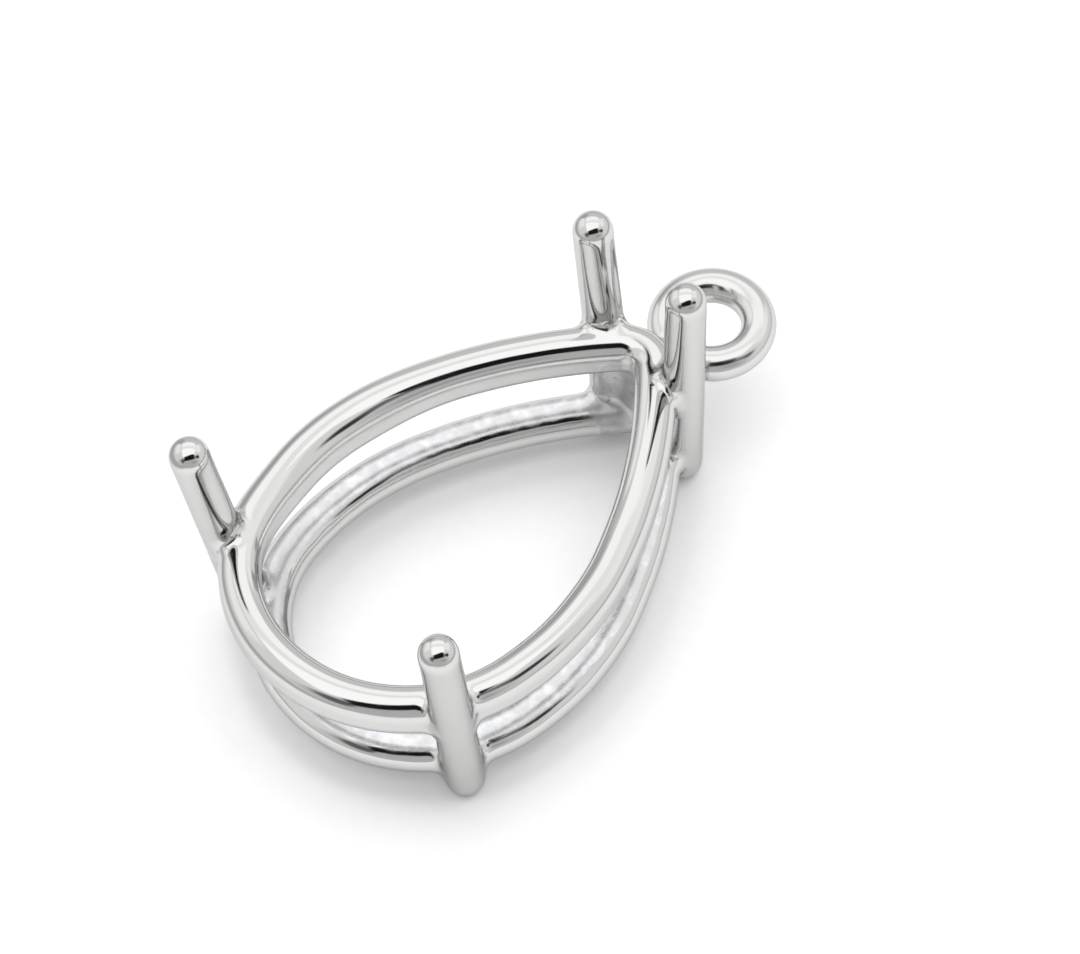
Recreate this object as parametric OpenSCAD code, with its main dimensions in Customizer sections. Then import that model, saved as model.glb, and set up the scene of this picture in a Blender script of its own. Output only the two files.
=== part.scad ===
// Semi-mount pendant setting for a pear-cut stone, lying on its four feet.
// All its metal is soldered into one piece: two pear-shaped gallery rails, one
// over the other, four round-wire claws outside them, a short wall that closes
// the rails' point, and a closed hanging ring on a seat at the wall's outer face.
// +Y runs from the round end to the point and the ring. The claws' feet stand at z = 0.

/* [Upper gallery rail] */
// Length over the wire, from the round end to the point
rail_length = 16.0; // [15:0.1:17]
// Radius of the wire's centreline at the round end
round_r = 4.83; // [4.7:0.01:5]
// Radius of the centreline along the belly
belly_r = 9.3; // [8.6:0.1:10]
// Angle from +X at which the round end passes into the belly
belly_from = -9; // [-12:1:-6]
// Angle from +X at which the belly passes into the flank
flank_from = 22; // [19:1:24]
// Radius of the centreline round the point
point_r = 0.99; // [0.9:0.01:1.1]
// Width of the wire
rail_w = 1.24; // [1.1:0.02:1.36]
// Height of the wire, which is drawn taller than it is wide
rail_h = 1.54; // [1.4:0.02:1.7]
// Height of the wire's centre above the feet
rail_z = 4.7; // [4.5:0.1:5]

/* [Lower gallery rail] */
// How far its centreline steps in from the upper rail's
base_inset = 0.34; // [0.25:0.01:0.4]
// How far it is set towards the point
base_shift = 0.66; // [0.5:0.02:0.7]
// Width of its wire
base_w = 1.34; // [1.24:0.02:1.4]
// Height of its wire, which is flattened a little from above
base_h = 1.2; // [1.1:0.02:1.22]
// Height of the wire's centre above the feet
base_z = 1.2; // [1.1:0.02:1.4]

/* [Claws] */
// Diameter of the claw wire
claw_d = 1.24; // [1.1:0.02:1.36]
// Height from foot to tip
claw_h = 10.1; // [9:0.1:12]
// Round-end claws, distance of the foot from the middle plane
round_foot_x = 4.25; // [4.15:0.05:4.35]
// Round-end claws, distance of the foot behind the round end's centre
round_foot_y = 2.16; // [2.05:0.01:2.25]
// Round-end claws, how far they lean outward from foot to tip
round_lean_x = 0.62; // [0.5:0.01:0.75]
// Round-end claws, how far they lean away from the point
round_lean_y = 1.56; // [1.4:0.01:1.7]
// Point claws, distance of the foot from the middle plane
point_foot_x = 1.38; // [1.3:0.02:1.46]
// Point claws, distance of the foot past the point's centreline
point_foot_y = 0.1; // [0:0.01:0.2]
// Point claws, how far they lean outward from foot to tip
point_lean_x = 0.44; // [0.3:0.01:0.6]
// Point claws, how far they lean back over the setting
point_lean_y = 0.32; // [0.2:0.01:0.4]

/* [Point wall and ring seat] */
// Thickness of the wall between the point claws
wall_t = 0.84; // [0.7:0.02:0.9]
// How far the wall's top lies below the middle of the upper rail
wall_drop = 0.5; // [0.3:0.05:0.6]
// Diameter of the seat that carries the ring
seat_d = 1.3; // [1.2:0.05:1.4]

/* [Hanging ring] */
// Diameter over the ring
ring_d = 3.8; // [3.5:0.05:4.2]
// Diameter of the ring's wire
ring_wire_d = 1.06; // [0.9:0.02:1.2]
// Height of the ring's middle above the feet
ring_z = 3.2; // [3.1:0.05:3.3]
// Space between the upper rail's point and the ring
ring_gap = 0.32; // [0.2:0.01:0.4]
// How far the ring is sunk into its seat
ring_bite = 0.22; // [0.15:0.01:0.3]

/* [Hidden] */
$fn = 96;

// The plan is worked out round the round end's centre. The upper centreline's
// +X half is four arcs, each tangent to the next, and the flank's radius is the
// one that lets it meet the point's arc.
point_y = rail_length - rail_w - round_r - point_r;
belly_c = (round_r - belly_r) * [cos(belly_from), sin(belly_from)];
flank_dir = [cos(flank_from), sin(flank_from)];
to_point = [0, point_y] - belly_c - belly_r * flank_dir;
flank_r = (point_r ^ 2 - to_point * to_point) / (2 * (to_point * flank_dir + point_r));
flank_c = belly_c + (belly_r - flank_r) * flank_dir;
flank_to = atan2(point_y - flank_c.y, -flank_c.x);

// Neighbouring arcs overlap by join_lap, and the one that enters the other is
// drawn thinner by join_trim all round, so that no two surfaces lie on each other.
join_lap = 0.05;
join_trim = 0.01;

// One row for each arc: centre, radius, first angle, last angle, trim, lap
END_ARCS = [
    [[0, 0], round_r, -180 - belly_from, belly_from, join_trim, join_lap],
    [[0, point_y], point_r, flank_to, 180 - flank_to, 0, 0],
];
SIDE_ARCS = [
    [belly_c, belly_r, belly_from, flank_from, 0, 0],
    [flank_c, flank_r, flank_from, flank_to, join_trim, join_lap],
];

apex_y = point_y + point_r;
rail_end_y = apex_y + rail_w / 2;
ring_y = rail_end_y + ring_gap + ring_d / 2;
seat_end_y = rail_end_y + ring_gap + ring_bite;
wall_y = apex_y + point_foot_y;

// The frame's origin is under the middle of the whole setting's length
middle_y = (ring_y + ring_d / 2 - round_r - rail_w / 2) / 2;

// Turns a wire's section along the plan's centreline, stepped in by inset
module along_plan(inset) {
    for (arc = END_ARCS) {
        bend(arc, inset) {
            children();
        }
    }
    for (side = [0, 1]) {
        mirror([side, 0, 0]) {
            for (arc = SIDE_ARCS) {
                bend(arc, inset) {
                    children();
                }
            }
        }
    }
}

// Turns the section along one arc, with $trim for the section to read
module bend(arc, inset) {
    $trim = arc[4];
    r = arc[1] - inset;
    lap = arc[5] / r * 180 / PI;
    translate(arc[0]) {
        rotate(arc[2] - lap) {
            rotate_extrude(angle = arc[3] - arc[2] + 2 * lap) {
                right_half(rail_h) {
                    translate([r, 0]) {
                        children();
                    }
                }
            }
        }
    }
}

// Keeps the part of a profile that lies on the turning axis's +X side
module right_half(half_height) {
    intersection() {
        children();
        translate([0, -half_height]) {
            square([flank_r + rail_w, 2 * half_height]);
        }
    }
}

// Drawn wire with flat sides and a half-round top and bottom
module rail_section() {
    straight = rail_h - rail_w;
    w = rail_w - 2 * $trim;
    for (end = [-1, 1]) {
        translate([0, end * straight / 2]) {
            circle(d = w);
        }
    }
    square([w, straight], center = true);
}

// Drawn wire with a flat top and bottom and half-round sides
module base_section() {
    straight = base_w - base_h;
    h = base_h - 2 * $trim;
    for (side = [-1, 1]) {
        translate([side * straight / 2, 0]) {
            circle(d = h);
        }
    }
    square([straight, h], center = true);
}

module upper_rail() {
    color("silver") {
        translate([0, 0, rail_z]) {
            along_plan(0) {
                rail_section();
            }
        }
    }
}

module lower_rail() {
    color("silver") {
        translate([0, base_shift, base_z]) {
            along_plan(base_inset) {
                base_section();
            }
        }
    }
}

// Round wire with domed ends, its foot's dome resting on z = 0
module claw(foot, lean) {
    r = claw_d / 2;
    run = [lean.x, lean.y, claw_h - claw_d];
    color("silver") {
        translate([foot.x, foot.y, r]) {
            rotate([0, acos(run.z / norm(run)), atan2(run.y, run.x)]) {
                rotate_extrude() {
                    right_half(claw_h + claw_d) {
                        circle(r = r);
                        translate([0, norm(run)]) {
                            circle(r = r);
                        }
                        translate([-r, 0]) {
                            square([claw_d, norm(run)]);
                        }
                    }
                }
            }
        }
    }
}

module point_wall() {
    color("silver") {
        translate([-point_foot_x, wall_y - wall_t / 2, base_z]) {
            cube([2 * point_foot_x, wall_t, rail_z - wall_drop - base_z]);
        }
        translate([0, wall_y, ring_z]) {
            rotate([-90, 0, 0]) {
                cylinder(d = seat_d, h = seat_end_y - wall_y);
            }
        }
    }
}

module hanging_ring() {
    color("silver") {
        translate([0, ring_y, ring_z]) {
            rotate_extrude() {
                translate([(ring_d - ring_wire_d) / 2, 0]) {
                    circle(d = ring_wire_d);
                }
            }
        }
    }
}

module setting() {
    translate([0, -middle_y, 0]) {
        upper_rail();
        lower_rail();
        for (side = [-1, 1]) {
            claw([side * round_foot_x, -round_foot_y], [side * round_lean_x, -round_lean_y]);
            claw([side * point_foot_x, apex_y + point_foot_y], [side * point_lean_x, -point_lean_y]);
        }
        point_wall();
        hanging_ring();
    }
}

setting();
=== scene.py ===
import math

import bpy
import numpy as np
from mathutils import Matrix, Vector


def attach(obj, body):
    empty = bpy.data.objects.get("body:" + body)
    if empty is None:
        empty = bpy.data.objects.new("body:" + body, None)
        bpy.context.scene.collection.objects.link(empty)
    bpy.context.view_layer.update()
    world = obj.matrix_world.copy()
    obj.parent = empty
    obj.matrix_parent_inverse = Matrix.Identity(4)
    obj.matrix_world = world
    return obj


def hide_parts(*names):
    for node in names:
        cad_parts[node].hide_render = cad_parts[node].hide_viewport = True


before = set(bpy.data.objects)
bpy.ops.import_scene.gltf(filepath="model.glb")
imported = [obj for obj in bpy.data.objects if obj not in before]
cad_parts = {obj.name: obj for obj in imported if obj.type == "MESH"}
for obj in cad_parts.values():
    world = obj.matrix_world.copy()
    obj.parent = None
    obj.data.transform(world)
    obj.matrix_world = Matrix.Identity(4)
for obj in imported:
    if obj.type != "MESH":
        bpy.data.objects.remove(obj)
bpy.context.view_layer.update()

# Upper gallery rail, which the stone's girdle rests on. Silver wire, drawn taller
# than it is wide, is bent round a pear-shaped former and closed with solder at the
# point. Its plan is in millimetres from the middle of the pear's round end.
RAIL_LENGTH = 16.0
RAIL_W = 1.24
RAIL_H = 1.54
RAIL_Z = 4.7
ROUND_R = 4.83
BELLY_R = 9.3
BELLY_FROM = -9.0
FLANK_FROM = 22.0
POINT_R = 0.99
POINT_Y = RAIL_LENGTH - RAIL_W - ROUND_R - POINT_R
APEX_Y = POINT_Y + POINT_R
# Beside the claw at the round end, the -X side has been pressed in by hand and its lower
# edge rolled in: how far, where along the pear each is most, and how far along it reaches
PRESSED_IN = 0.16
PRESSED_Y = -1.2
PRESSED_REACH = 2.0
ROLLED_IN = 0.26
ROLLED_Y = 1.2
ROLLED_REACH = 3.2
# How far from the middle plane the side counts in full
SIDE_X = 2.0


def heading(degrees):
    """The direction in the plan at an angle from +X"""
    angle = math.radians(degrees)
    return np.array([math.cos(angle), math.sin(angle)])


def pear_arcs():
    """Centre, radius, first and last angle of the four arcs that make the +X half of the pear"""
    belly = (ROUND_R - BELLY_R) * heading(BELLY_FROM)
    out = heading(FLANK_FROM)
    to_point = np.array([0, POINT_Y]) - belly - BELLY_R * out
    flank_r = (POINT_R**2 - to_point @ to_point) / (2 * (to_point @ out + POINT_R))
    flank = belly + (BELLY_R - flank_r) * out
    flank_to = math.degrees(math.atan2(POINT_Y - flank[1], -flank[0]))
    return [
        ((0, 0), ROUND_R, -90, BELLY_FROM),
        (belly, BELLY_R, BELLY_FROM, FLANK_FROM),
        (flank, flank_r, FLANK_FROM, flank_to),
        ((0, POINT_Y), POINT_R, flank_to, 90),
    ]


def off_pear(x, y, inset):
    """Distance in the plan from the pear's centreline, stepped in by inset"""
    x = abs(x)
    nearest = np.inf
    for (cx, cy), radius, first, last in pear_arcs():
        r = radius - inset
        dx, dy = x - cx, y - cy
        turned = (np.degrees(np.arctan2(dy, dx)) - first) % 360
        to_ends = np.inf
        for end in (first, last):
            ex, ey = r * heading(end)
            to_ends = np.minimum(to_ends, np.hypot(dx - ex, dy - ey))
        off = np.where(turned <= last - first, abs(np.hypot(dx, dy) - r), to_ends)
        nearest = np.minimum(nearest, off)
    return nearest


def squared_up(x, y, z):
    """x as it was before the rail's -X side was pressed in and rolled in"""
    side = np.clip(-x / SIDE_X, 0, 1)
    pressed = PRESSED_IN * np.exp(-(((y - PRESSED_Y) / PRESSED_REACH) ** 2))
    rolled = ROLLED_IN * np.exp(-(((y - ROLLED_Y) / ROLLED_REACH) ** 4))
    below_top = (RAIL_Z + RAIL_H / 2 - z) / RAIL_H
    return x - side * (pressed + rolled * below_top)


def upper_rail(x, y, z):
    flat_side = (RAIL_H - RAIL_W) / 2
    above = np.maximum(abs(z - RAIL_Z) - flat_side, 0)
    return np.hypot(off_pear(squared_up(x, y, z), y, 0), above) - RAIL_W / 2


# Lower gallery rail, silver wire flattened a little from above and bent to the same
# pear, only smaller, and set towards the point. It ties the claws together near their feet.
BASE_INSET = 0.34
BASE_SHIFT = 0.66
BASE_W = 1.34
BASE_H = 1.2
BASE_Z = 1.2


def lower_rail(x, y, z):
    flat_top = (BASE_W - BASE_H) / 2
    beside = np.maximum(off_pear(x, y - BASE_SHIFT, BASE_INSET) - flat_top, 0)
    return np.hypot(beside, z - BASE_Z) - BASE_H / 2


# Four claws of round silver wire, their ends rounded over, soldered upright to the
# outside of both rails. Once the stone is in, their tops are bent over its edge.
CLAW_D = 1.24
CLAW_H = 10.1
ROUND_FOOT = np.array([4.25, -2.16])
ROUND_LEAN = np.array([0.62, -1.56])
POINT_FOOT = np.array([1.38, APEX_Y + 0.1])
POINT_LEAN = np.array([0.44, -0.32])
# How far along the wire a dome eases into its side
DOME_EASE = 0.3


def rod(x, y, z, foot, head, radius):
    """Distance from a straight wire, whose domed ends ease into its sides"""
    length = np.linalg.norm(head - foot)
    run = (head - foot) / length
    dx, dy, dz = x - foot[0], y - foot[1], z - foot[2]
    along = dx * run[0] + dy * run[1] + dz * run[2]
    aside = np.maximum(dx**2 + dy**2 + dz**2 - along**2, 0)
    beyond = abs(along - length / 2) - length / 2
    eased = (beyond + DOME_EASE) ** 2 / (4 * DOME_EASE)
    beyond = np.where(abs(beyond) < DOME_EASE, eased, np.maximum(beyond, 0))
    return np.sqrt(aside + beyond**2) - radius


def claws(x, y, z):
    nearest = np.inf
    r = CLAW_D / 2
    for foot, lean in ((ROUND_FOOT, ROUND_LEAN), (POINT_FOOT, POINT_LEAN)):
        low = np.array([foot[0], foot[1], r])
        top = np.array([foot[0] + lean[0], foot[1] + lean[1], CLAW_H - r])
        nearest = np.minimum(nearest, rod(abs(x), y, z, low, top, r))
    return nearest


# Point wall and ring seat. A strip of silver sheet closes the gap between the two
# rails at the point, and a short piece of wire on its outer face carries the ring.
WALL_T = 0.84
WALL_DROP = 0.5
WALL_ROUNDED = 0.06
WALL_Y = POINT_FOOT[1]
SEAT_D = 1.3
RING_Z = 3.2
RING_GAP = 0.32
RING_BITE = 0.22
RAIL_END_Y = APEX_Y + RAIL_W / 2


def point_wall(x, y, z):
    top = RAIL_Z - WALL_DROP
    half = np.array([POINT_FOOT[0], WALL_T / 2, (top - BASE_Z) / 2]) - WALL_ROUNDED
    px = abs(x) - half[0]
    py = abs(y - WALL_Y) - half[1]
    pz = abs(z - (top + BASE_Z) / 2) - half[2]
    out = np.sqrt(np.maximum(px, 0) ** 2 + np.maximum(py, 0) ** 2 + np.maximum(pz, 0) ** 2)
    return out + np.minimum(np.maximum(px, np.maximum(py, pz)), 0) - WALL_ROUNDED


def ring_seat(x, y, z):
    end = RAIL_END_Y + RING_GAP + RING_BITE
    middle, half = (WALL_Y + end) / 2, (end - WALL_Y) / 2
    return np.maximum(np.hypot(x, z - RING_Z) - SEAT_D / 2, abs(y - middle) - half)


# Hanging ring, a closed ring of round silver wire that lies level, soldered to its
# seat. The chain's bail goes through it.
RING_D = 3.8
RING_WIRE_D = 1.06
RING_Y = RAIL_END_Y + RING_GAP + RING_D / 2


def hanging_ring(x, y, z):
    out = np.hypot(x, y - RING_Y) - (RING_D - RING_WIRE_D) / 2
    return np.hypot(out, z - RING_Z) - RING_WIRE_D / 2


# The soldered setting. Solder fills each joint with a small hollow fillet, and
# filing, tumbling and the buff leave the wires a little uneven, the lower rail
# most of all. The result is one skin of metal, so it is made as one mesh.
CLAW_FILLET = 0.42
WALL_FILLET = 0.3
RING_FILLET = 0.34
# How much wider or narrower than that the solder has run, from place to place
FLOW = 0.14

# Waves of the worn surface: size in mm of one wave, height in mm, and direction
WEAR = [
    (2.9, 0.0024, (0.8, 0.5, 0.3)),
    (2.3, 0.0024, (-0.6, 0.7, 0.4)),
    (1.7, 0.0014, (0.5, -0.6, 0.6)),
    (1.1, 0.0008, (0.7, 0.6, -0.4)),
]
# Shorter waves, on top of the lower rail, which the buff doesn't reach
ROUGH_WEAR = [
    (1.9, 0.0024, (0.7, 0.6, 0.4)),
    (1.3, 0.0018, (-0.7, 0.6, 0.5)),
    (0.8, 0.0014, (0.6, -0.8, 0.3)),
    (0.55, 0.0010, (-0.5, -0.6, 0.7)),
]
# By how much each row's waves start further on than those of the row before, in radians
WAVE_START = 1.7
# The least that the file and the buff take off anywhere
LEAST_OFF = 0.008

# Where the buff doesn't reach, and how much of the tumbler's satin is left there, out of
# 1. All of it is left in the nook inside the point, given by its half width, start and top.
NOOK_X = 1.45
NOOK_Y = APEX_Y - 1.5
NOOK_Z = RAIL_Z + 0.3
# On the lower rail it is left above a ragged line
LOW_LINE_Z = BASE_Z + 0.45
RAGGED = 0.03
LOW_SATIN = 0.8
# On the upper rail's inner face, below this height
INNER_TOP_Z = RAIL_Z + 0.45
INNER_SATIN = 0.6
# In the solder between the claws and the lower rail, below this height
LOW_JOINT_Z = 2.4
LOW_JOINT_SATIN = 0.85
# All over the ring
RING_SATIN = 0.3


def worn_off(x, y, z, rows):
    """How much metal the file and the tumbler have taken off, always 0 or more"""
    depth = 0
    for number, (size, high, direction) in enumerate(rows):
        ax, ay, az = np.array(direction) / np.linalg.norm(direction) * 2 * math.pi / size
        depth = depth + high * (1 + np.sin(ax * x + ay * y + az * z + WAVE_START * number))
    return depth


def flow(x, y, z):
    """How far the solder has run at each place, round 1, in waves of about a millimetre"""
    waves = np.sin(5.9 * x + 2.8 * y) * np.sin(5.4 * y - 3.3 * z + 1) * np.sin(5.0 * z + 3.2 * x + 2)
    return 1 + FLOW * waves


def past(distance, fade):
    """0 before an edge, rising to 1 at fade beyond it"""
    return np.clip(distance / fade, 0, 1)


def within(distance, reach):
    """1 on a piece's own skin, falling to 0 at reach from it"""
    return np.clip(1 - distance / reach, 0, 1)


def in_nook(x, y, z):
    """1 in the nook inside the point, falling to 0 outside it"""
    along = past(y - NOOK_Y, 0.4) * past(WALL_Y - y, 0.1)
    return past(NOOK_X - abs(x), 0.15) * along * past(NOOK_Z - z, 0.3)


def soldered(a, b, fillet):
    """Joins two distances with a fillet, and says how near the joint is, from 0 to 1"""
    near = np.maximum(fillet - abs(a - b), 0) / fillet
    return np.minimum(a, b) - near**2 * fillet / 4, near * within(np.maximum(a, b), fillet)


def metal(x, y, z):
    """Distance from the setting's skin, and two shares: of solder, and of satin that the buff missed"""
    upper, low, claw = upper_rail(x, y, z), lower_rail(x, y, z), claws(x, y, z)
    wall, seat, ring = point_wall(x, y, z), ring_seat(x, y, z), hanging_ring(x, y, z)
    nook = in_nook(x, y, z)
    run = 1 + (1 - nook) * (flow(x, y, z) - 1)
    skin, solder = soldered(upper, wall, WALL_FILLET * run)
    fillets = ((low, WALL_FILLET), (claw, CLAW_FILLET), (seat, WALL_FILLET), (ring, RING_FILLET))
    for piece, fillet in fillets:
        skin, near = soldered(skin, piece, fillet * run)
        solder = np.maximum(solder, near)

    # Each place where satin is left ends softly, over the millimetres that its calls say
    line = LOW_LINE_Z + RAGGED * np.sin(7 * x + 3 * y) * np.sin(6 * y - 2 * x)
    low_top = LOW_SATIN * within(low, 0.4) * past(z - line, 0.06)
    inside = within(off_pear(squared_up(x, y, z), y, RAIL_W / 2), 0.35)
    inner = INNER_SATIN * inside * within(upper, 0.1) * past(INNER_TOP_Z - z, 0.08)
    low_joint = LOW_JOINT_SATIN * solder * past(LOW_JOINT_Z - z, 0.3)
    satin = RING_SATIN * within(ring, 0.2)
    for share in (nook, low_top, inner, low_joint):
        satin = np.maximum(satin, share)

    # The rougher waves keep to the lower rail's top, between the claws
    rough = within(low, 0.25) * (1 - within(claw, 0.3)) * past(z - BASE_Z - 0.1, 0.3)
    skin = skin + LEAST_OFF + worn_off(x, y, z, WEAR) + rough * worn_off(x, y, z, ROUGH_WEAR)
    return skin, solder, satin


def slope(points, step=0.004):
    """The direction in which the distance grows fastest at each point"""
    rise = np.empty_like(points)
    for axis in range(3):
        ahead, behind = points.copy(), points.copy()
        ahead[:, axis] += step
        behind[:, axis] -= step
        rise[:, axis] = (metal(*ahead.T)[0] - metal(*behind.T)[0]) / (2 * step)
    return rise


def onto_skin(points, times):
    """Moves each point along the slope onto the metal's skin"""
    for _ in range(times):
        rise = slope(points)
        off = metal(*points.T)[0]
        points = points - (off / (rise**2).sum(1))[:, None] * rise
    return points


def net(low, high, cell):
    """A mesh of four-sided faces round all metal, with a corner in each cell that the skin crosses"""
    axes = [np.arange(low[i], high[i] + cell, cell) for i in range(3)]
    grid = np.meshgrid(*axes, indexing="ij", sparse=True)
    value = metal(*grid)[0]
    inside = value < 0
    cells = [n - 1 for n in value.shape]
    corners = [(i, j, k) for i in (0, 1) for j in (0, 1) for k in (0, 1)]
    count = np.zeros(cells, int)
    for i, j, k in corners:
        count += inside[i : i + cells[0], j : j + cells[1], k : k + cells[2]]
    crossed = np.argwhere((count > 0) & (count < len(corners)))
    corner_in = np.full(cells, -1)
    corner_in[tuple(crossed.T)] = np.arange(len(crossed))

    # Each cell's corner of the mesh is the mean of the places where its edges cross the skin
    at = {c: value[tuple((crossed + c).T)] for c in corners}
    total, hits = np.zeros((len(crossed), 3)), np.zeros(len(crossed))
    for start in corners:
        for axis in range(3):
            if start[axis]:
                continue
            end = tuple(1 if n == axis else start[n] for n in range(3))
            a, b = at[start], at[end]
            cut = (a < 0) != (b < 0)
            share = np.where(cut, a / np.where(cut, a - b, 1), 0)
            where = np.array(start) + share[:, None] * (np.array(end) - np.array(start))
            total += np.where(cut[:, None], where, 0)
            hits += cut
    points = low + (crossed + total / hits[:, None]) * cell

    # A face crosses each edge of the grid that the skin crosses, and joins the four cells round it
    faces = []
    for axis in range(3):
        one, two = (axis + 1) % 3, (axis + 2) % 3
        here = [slice(1, n) for n in cells]
        here[axis] = slice(0, cells[axis])
        there = list(here)
        there[axis] = slice(1, cells[axis] + 1)
        a, b = inside[tuple(here)], inside[tuple(there)]
        base = np.argwhere(a != b)
        outward = a[tuple(base.T)]
        base[:, one] += 1
        base[:, two] += 1
        quad = []
        for back_one, back_two in ((0, 0), (1, 0), (1, 1), (0, 1)):
            cell_at = base.copy()
            cell_at[:, one] -= back_one
            cell_at[:, two] -= back_two
            quad.append(corner_in[tuple(cell_at.T)])
        quad = np.array(quad).T
        quad[~outward] = quad[~outward][:, ::-1]
        faces.append(quad)
    return points, np.concatenate(faces)


def evened(points, faces, rounds, share=0.6):
    """Slides the corners along the skin, by share of the way each round, to even out the faces"""
    edges = np.concatenate([faces[:, [n, (n + 1) % 4]] for n in range(4)])
    edges = np.unique(np.sort(edges, 1), axis=0)
    both_ways = np.concatenate([edges, edges[:, ::-1]])
    neighbours = np.bincount(both_ways[:, 0], minlength=len(points))
    for _ in range(rounds):
        mean = np.empty_like(points)
        for axis in range(3):
            mean[:, axis] = np.bincount(both_ways[:, 0], points[both_ways[:, 1], axis], len(points))
        points = onto_skin(points + share * (mean / neighbours[:, None] - points), 1)
    return points


# The grid of the net. None of its levels grazes the crest of a wire, where it would pinch.
CELL = 0.09
MARGIN = 0.3
LOW = np.array([-6.0, -ROUND_R - RAIL_W, -0.355])
HIGH = np.array([6.0, RING_Y + RING_D / 2 + MARGIN, CLAW_H + MARGIN])
# The frame's origin is under the middle of the whole setting's length
MIDDLE_Y = (RING_Y + RING_D / 2 - ROUND_R - RAIL_W / 2) / 2
MM = 0.001

points, faces = net(LOW, HIGH, CELL)
points = onto_skin(evened(points, faces, rounds=4), times=2)
normals = slope(points)
normals /= np.linalg.norm(normals, axis=1)[:, None]
solder, satin = metal(*points.T)[1:]

mesh = bpy.data.meshes.new("soldered_setting")
mesh.from_pydata((points - [0, MIDDLE_Y, 0]) * MM, [], faces.tolist())
mesh.shade_smooth()
mesh.normals_split_custom_set_from_vertices(normals)
for name, share in (("solder", solder), ("satin", satin)):
    mesh.attributes.new(name, "FLOAT", "POINT").data.foreach_set("value", share.astype(np.float32))
setting = bpy.data.objects.new("soldered_setting", mesh)
bpy.context.scene.collection.objects.link(setting)


# Sterling silver with a rhodium plate. Where the buff reached, it is a grey mirror with
# a faint haze. Where only the tumbler did, it is a paler satin, and solder is pitted.
def linear(hex_colour):
    """An sRGB hex colour as linear red, green, blue and full opacity"""
    channels = [int(hex_colour[n : n + 2], 16) / 255 for n in (1, 3, 5)]
    return [c / 12.92 if c < 0.04045 else ((c + 0.055) / 1.055) ** 2.4 for c in channels] + [1]


def add(tree, kind, inputs=(), out=None, **settings):
    """Adds a node with its settings, and values or sockets for its inputs, by name or in order.
    Gives its output of the name out, or else the first that is in use."""
    made = tree.nodes.new("ShaderNode" + kind)
    for name, value in settings.items():
        setattr(made, name, value)
    filled = inputs.items() if isinstance(inputs, dict) else enumerate(inputs)
    for name, value in filled:
        if isinstance(value, bpy.types.NodeSocket):
            tree.links.new(value, made.inputs[name])
        else:
            made.inputs[name].default_value = value
    if out:
        return made.outputs[out]
    return next((output for output in made.outputs if output.enabled), None)


PER_MM = 1000
BUFFED = "#D2D2D1"
SATIN_DARK, SATIN_PALE = "#DCDDE0", "#F4F5F8"
# Darker satin tones, a painted shade for the nook and the left round end
SHADE_PAINT_DARK, SHADE_PAINT_PALE = "#BCBCBE", "#DADADB"
PIT_STAIN = "#77777A"
EDGE_TINT = "#DDDDDD"
SATIN_ROUGHNESS = 0.38
# The satin's ripples are five thousandths of a millimetre high, and less under the buff
RIPPLE_HIGH = 0.005
# Painted shade: the satin is drawn darker at the round end, towards the claw on the left, and in the
# nook inside the point. At the round end it starts and is full at these distances from the setting's
# middle, in mm.
TO_LEFT_CLAW = (-0.574, -0.819, 0)
SHADE_PAINT_FROM, SHADE_PAINT_TO = 4.4, 6.8

silver = bpy.data.materials.new("rhodium_plated_silver")
silver.use_nodes = True
tree = silver.node_tree
tree.nodes.clear()
place = add(tree, "TexCoord", out="Object")
near_joint = add(tree, "Attribute", out="Fac", attribute_name="solder")
off_buff = add(tree, "Attribute", out="Fac", attribute_name="satin")

# Clouds of the buff's haze 1.1 mm long, of the tumbler's satin 0.4 mm and of pits 0.2 mm.
# The real satin's grain is a few hundredths, too fine to show, so it is drawn that coarse.
HAZE_PER_MM = 0.9
SATIN_PER_MM = 2.6
PITS_PER_MM = 5.5
haze = add(tree, "TexNoise", {"Vector": place, "Scale": HAZE_PER_MM * PER_MM, "Detail": 3})
mottle = add(tree, "TexNoise", {"Vector": place, "Scale": SATIN_PER_MM * PER_MM, "Detail": 5})
pitting = add(tree, "TexNoise", {"Vector": place, "Scale": PITS_PER_MM * PER_MM, "Detail": 3})

# Each MapRange carries a value over from one range, its first two numbers, to another
joint = add(tree, "MapRange", (near_joint, 0.2, 0.8, 0.0, 1.0))
nook = add(tree, "MapRange", (off_buff, 0.7, 0.95, 0.0, 1.0))
patches = add(tree, "MapRange", (mottle, 0.35, 0.6, 0.75, 1.0))
patchy = add(tree, "Math", (patches, nook), operation="MAXIMUM")
on_joint = add(tree, "Math", (joint, 0.4), operation="MULTIPLY")
unbuffed = add(tree, "Math", (off_buff, on_joint), operation="MAXIMUM")
dull = add(tree, "Math", (unbuffed, patchy), operation="MULTIPLY")
matted = add(tree, "MapRange", (dull, 0.55, 0.8, 0.0, 1.0))
pitted = add(tree, "MapRange", (pitting, 0.6, 0.68, 0.0, 1.0))
pits = add(tree, "Math", (joint, pitted), operation="MULTIPLY")

polished = add(tree, "MapRange", (haze, 0.3, 0.7, 0.07, 0.11))
roughness = add(tree, "Mix", {"Factor": dull, "A": polished, "B": SATIN_ROUGHNESS}, data_type="FLOAT")

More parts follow.
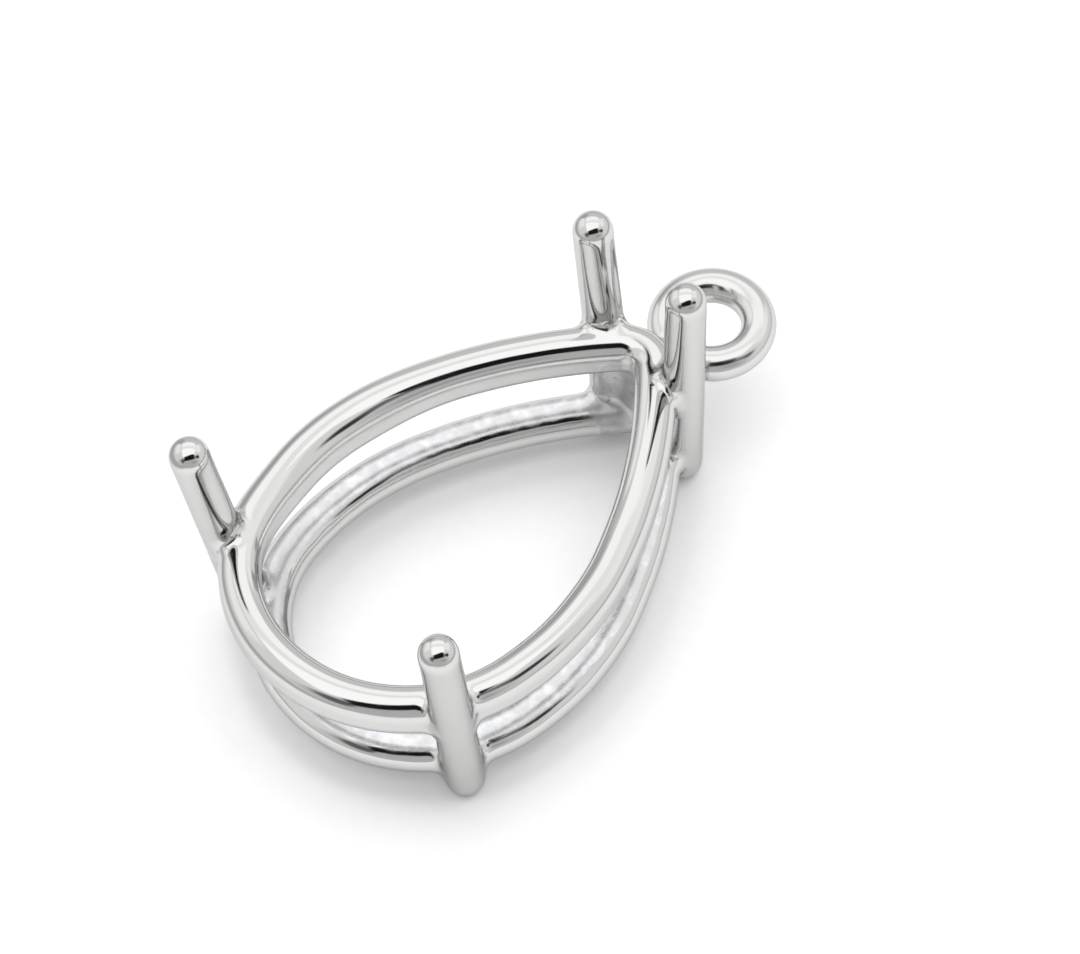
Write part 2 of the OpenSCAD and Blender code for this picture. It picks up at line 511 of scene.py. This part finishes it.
satin_share = add(tree, "MapRange", (mottle, 0.38, 0.62, 0.0, 1.0))
shade_paint_share = add(tree, "MapRange", (mottle, 0.3, 0.7, 0.0, 1.0))
leftmost = add(tree, "VectorMath", (place, TO_LEFT_CLAW), out="Value", operation="DOT_PRODUCT")
left_end_shade = add(tree, "MapRange", (leftmost, SHADE_PAINT_FROM / PER_MM, SHADE_PAINT_TO / PER_MM, 0.0, 1.0))
# Painted shade: where the satin is drawn darker, in the nook and towards the left round end
painted_shade_mask = add(tree, "Math", (nook, left_end_shade), operation="MAXIMUM")
frost = {"Factor": satin_share, "A": linear(SATIN_DARK), "B": linear(SATIN_PALE)}
shade_paint_mix = {"Factor": shade_paint_share, "A": linear(SHADE_PAINT_DARK), "B": linear(SHADE_PAINT_PALE)}
frosted = add(tree, "Mix", frost, data_type="RGBA")
shade_paint_tone = add(tree, "Mix", shade_paint_mix, data_type="RGBA")
# The satin's own mottled tone, with the painted shade mixed over it
satin_with_painted_shade = add(tree, "Mix", {"Factor": painted_shade_mask, "A": frosted, "B": shade_paint_tone}, data_type="RGBA")
tone = add(tree, "Mix", {"Factor": matted, "A": linear(BUFFED), "B": satin_with_painted_shade}, data_type="RGBA")
stained = add(tree, "Mix", {"Factor": pits, "A": tone, "B": linear(PIT_STAIN)}, data_type="RGBA")

height = add(tree, "Math", (mottle, pits), operation="SUBTRACT")
in_satin = add(tree, "MapRange", (matted, 0.0, 1.0, 0.1, 0.8))
less_in_nook = add(tree, "MapRange", (nook, 0.0, 1.0, 1.0, 0.6))
relief = add(tree, "Math", (in_satin, less_in_nook), operation="MULTIPLY")
ripples = {"Height": height, "Strength": relief, "Distance": RIPPLE_HIGH / PER_MM}
uneven = add(tree, "Bump", ripples)
surface = {
    "Base Color": stained,
    "Metallic": 1.0,
    "Roughness": roughness,
    "Specular Tint": linear(EDGE_TINT),
    "Normal": uneven,
}
add(tree, "OutputMaterial", {"Surface": add(tree, "BsdfPrincipled", surface)})
mesh.materials.append(silver)

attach(setting, "root")
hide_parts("setting")

# The camera, on a stand 0.38 m away past the round end's +X side, looks down on the
# setting through a long lens, so that the far claws are hardly smaller than the near one.
CAMERA_AT = Vector((0.14362, -0.14708, 0.31834))
CAMERA_AXES = Matrix(
    (
        (0.72682, -0.57123, 0.38137),
        (0.68678, 0.61151, -0.39291),
        (-0.00877, 0.54749, 0.83676),
    )
)
camera_data = bpy.data.cameras.new("camera")
camera_data.sensor_width = 36
camera_data.lens = 435.12
camera_data.clip_start = 0.01
camera_data.clip_end = 10
camera = bpy.data.objects.new("camera", camera_data)
camera.matrix_world = Matrix.Translation(CAMERA_AT) @ CAMERA_AXES.to_4x4()
bpy.context.scene.collection.objects.link(camera)
bpy.context.scene.camera = camera
to_right = CAMERA_AXES.col[0].normalized()
ahead = Vector((-CAMERA_AXES[0][2], -CAMERA_AXES[1][2], 0)).normalized()

# The floor, a sheet of matt white paper, rolled out under the setting. It is in shade from
# a few centimetres away, and sooner on the left, and the wires mirror that as grey edges.
PAPER_DARK, PAPER_PALE = "#F6F6F6", "#FAFAFA"
PAPER_SHADE = "#B0B0B0"
# The fibres are a few hundredths of a millimetre wide, too fine to show, so they are
# drawn as clouds of 0.3 mm
FIBRES_PER_MM = 3
# The shade comes on between these distances from the middle, or to the left of it, in metres
SHADE_FROM, SHADE_TO = 0.03, 0.1
LEFT_SHADE_FROM, LEFT_SHADE_TO = 0.017, 0.03

bpy.ops.mesh.primitive_plane_add(size=6)
paper = bpy.context.object
paper.name = "paper_sweep"
white = bpy.data.materials.new("matt_white_paper")
white.use_nodes = True
tree = white.node_tree
tree.nodes.clear()
place = add(tree, "TexCoord", out="Object")
fibres = add(tree, "TexNoise", {"Vector": place, "Scale": FIBRES_PER_MM * PER_MM, "Detail": 2})
clouds = {"Factor": fibres, "A": linear(PAPER_DARK), "B": linear(PAPER_PALE)}
tone = add(tree, "Mix", clouds, data_type="RGBA")
off_middle = add(tree, "VectorMath", (place,), out="Value", operation="LENGTH")
leftward = add(tree, "VectorMath", (place, -to_right), out="Value", operation="DOT_PRODUCT")
far_off = add(tree, "MapRange", (off_middle, SHADE_FROM, SHADE_TO, 0.0, 1.0))
far_left = add(tree, "MapRange", (leftward, LEFT_SHADE_FROM, LEFT_SHADE_TO, 0.0, 1.0))
in_shade = add(tree, "Math", (far_off, far_left), operation="MAXIMUM")
colour = add(tree, "Mix", {"Factor": in_shade, "A": tone, "B": linear(PAPER_SHADE)}, data_type="RGBA")
add(tree, "OutputMaterial", {"Surface": add(tree, "BsdfDiffuse", {"Color": colour})})
paper.data.materials.append(white)

# The studio that the wires mirror: a softbox overhead, pale walls, and a black cloth
# hung over the camera, with its arms and stands, which draws the wires' black lines.
studio = bpy.data.worlds.new("studio")
bpy.context.scene.world = studio
studio.use_nodes = True
tree = studio.node_tree
tree.nodes.clear()
to_sky = add(tree, "TexCoord", out="Generated")
across = add(tree, "VectorMath", (to_sky, to_right), out="Value", operation="DOT_PRODUCT")
forward = add(tree, "VectorMath", (to_sky, ahead), out="Value", operation="DOT_PRODUCT")
upward = add(tree, "VectorMath", (to_sky, (0, 0, 1)), out="Value", operation="DOT_PRODUCT")


def band(value, first, last, soft):
    """The two soft edges of a band"""
    return (value, first - soft, first + soft), (value, last + soft, last - soft)


def oval(centre, half, soft):
    """The soft edge of an oval, whose centre and half size are in degrees aside and above"""
    squares = []
    for value, middle, reach in zip((aside, above), centre, half):
        off = add(tree, "Math", (value, middle), operation="SUBTRACT")
        share = add(tree, "Math", (off, reach), operation="DIVIDE")
        squares.append(add(tree, "Math", (share, share), operation="MULTIPLY"))
    square = add(tree, "Math", squares, operation="ADD")
    return add(tree, "Math", (square,), operation="SQRT"), 1 + soft, 1 - soft


def patch(*edges):
    """1 where all its edges are past their end, 0 where one is before its start, and soft between"""
    inside = 1.0
    for value, start, end in edges:
        soft = (value, start, end, 0.0, 1.0) if start < end else (value, end, start, 1.0, 0.0)
        past_edge = add(tree, "MapRange", soft, interpolation_type="SMOOTHSTEP")
        inside = add(tree, "Math", (inside, past_edge), operation="MULTIPLY")
    return inside


# Degrees to the right of the camera, and above it
CAMERA_UP = 123.2
angle_across = add(tree, "Math", (across,), operation="ARCSINE")
aside = add(tree, "Math", (angle_across,), operation="DEGREES")
angle_upward = add(tree, "Math", (upward, forward), operation="ARCTAN2")
degrees_upward = add(tree, "Math", (angle_upward,), operation="DEGREES")
above = add(tree, "Math", (CAMERA_UP, degrees_upward), operation="SUBTRACT")

# The softbox, in the plane of its cloth, which a dimmer strip crosses, with a seam at
# either side
CLOTH_LIGHT = 1.45
# Nothing less than this is divided by
LEAST = 0.01
raised = add(tree, "Math", (upward, LEAST), operation="MAXIMUM")
box_across = add(tree, "Math", (across, raised), operation="DIVIDE")
box_ahead = add(tree, "Math", (forward, raised), operation="DIVIDE")
softbox = patch(
    *band(box_across, -0.78, 0.62, 0.08),
    *band(box_ahead, -0.66, 1.3, 0.08),
    (upward, 0.05, 0.1),
)
cloth = (
    (patch((box_ahead, 0.2, 0.32)), 1.15),
    (patch((box_ahead, 0.49, 0.61)), 1.38),
    (patch(*band(aside, 30, 34, 2)), 0.95),
    (patch(*band(aside, -44, -40, 2)), 0.95),
)
box_light = CLOTH_LIGHT
for mask, strength in cloth:
    box_light = add(tree, "Mix", {"Factor": mask, "A": box_light, "B": strength}, data_type="FLOAT")

# White walls at either side and beyond the setting, the far edge of the paper, a dim
# corner over it, and the room behind the camera
wide = add(tree, "Math", (across,), operation="ABSOLUTE")
beside = add(tree, "Math", (wide, LEAST), operation="MAXIMUM")
rise = add(tree, "Math", (upward, beside), operation="DIVIDE")
depth = add(tree, "Math", (forward, beside), operation="DIVIDE")
left_wall = patch((across, 0.0, -0.02), *band(rise, 0.3, 1.0, 0.05), *band(depth, 0.05, 1.2, 0.1))
right_wall = patch((across, 0.0, 0.02), *band(rise, 0.6, 1.8, 0.07), *band(depth, 0.05, 1.2, 0.1))
back_wall = patch((forward, 0.0, 0.02), *band(upward, 0.12, 0.55, 0.06), *band(across, -0.6, 0.6, 0.1))
horizon = patch(*band(upward, 0.0, 0.1, 0.03))
far_corner = patch(oval((-30, 108), (16, 12), 0.4))
room = patch(oval((0, -32), (55, 26), 0.3))

# The camera's arms and stands, the table's edge, and the black cloth over the camera,
# whose hem and top slope
arm_line = add(tree, "MapRange", (aside, -45, 45, -22, 0))
hem = add(tree, "MapRange", (aside, -24, 24, -24, -13))
cloth_top = add(tree, "MapRange", (aside, -24, 16, 0, 15))
off_arms = add(tree, "Math", (above, arm_line), operation="SUBTRACT")
over_hem = add(tree, "Math", (above, hem), operation="SUBTRACT")
under_top = add(tree, "Math", (above, cloth_top), operation="SUBTRACT")
arms = patch(*band(aside, -45, 50, 4), *band(off_arms, -9, 8, 6))
right_arm = patch(*band(aside, 28, 52, 3), *band(above, -8, 8, 4))
left_stand = patch(oval((-33, -26), (9, 13), 0.3))
right_stand = patch(oval((48, 0), (8, 13), 0.4))
table_edge = patch(*band(aside, 14, 40, 4), *band(above, -36, -28, 3))
black_cloth = patch(*band(aside, -26, 28, 2), (over_hem, -2, 2), (under_top, 2, -2))

# How bright each is, each one drawn over those before it
ROOM_LIGHT = 0.95
surround = (
    (back_wall, 0.8),
    (horizon, 0.75),
    (far_corner, 0.5),
    (left_wall, 1.2),
    (right_wall, 1.2),
    (room, 0.6),
    (arms, 0.42),
    (right_arm, 0.2),
    (table_edge, 0.42),
    (left_stand, 0.15),
    (right_stand, 0.05),
    (softbox, box_light),
    (black_cloth, 0.01),
)
light = ROOM_LIGHT
for mask, strength in surround:
    light = add(tree, "Mix", {"Factor": mask, "A": light, "B": strength}, data_type="FLOAT")
glow = add(tree, "Background", {"Color": linear("#FFFFFF"), "Strength": light})
add(tree, "OutputWorld", {"Surface": glow})
bpy.context.scene.view_settings.view_transform = "Standard"

# A round lamp straight above lifts the paper to white. It stays out of the metal's
# reflections.
lamp_data = bpy.data.lights.new("round_lamp", "AREA")
lamp_data.shape = "DISK"
lamp_data.size = 1.155
lamp_data.energy = 4.4
lamp = bpy.data.objects.new("round_lamp", lamp_data)
lamp.location = (0, 0, 1)
lamp.visible_glossy = False
bpy.context.scene.collection.objects.link(lamp)
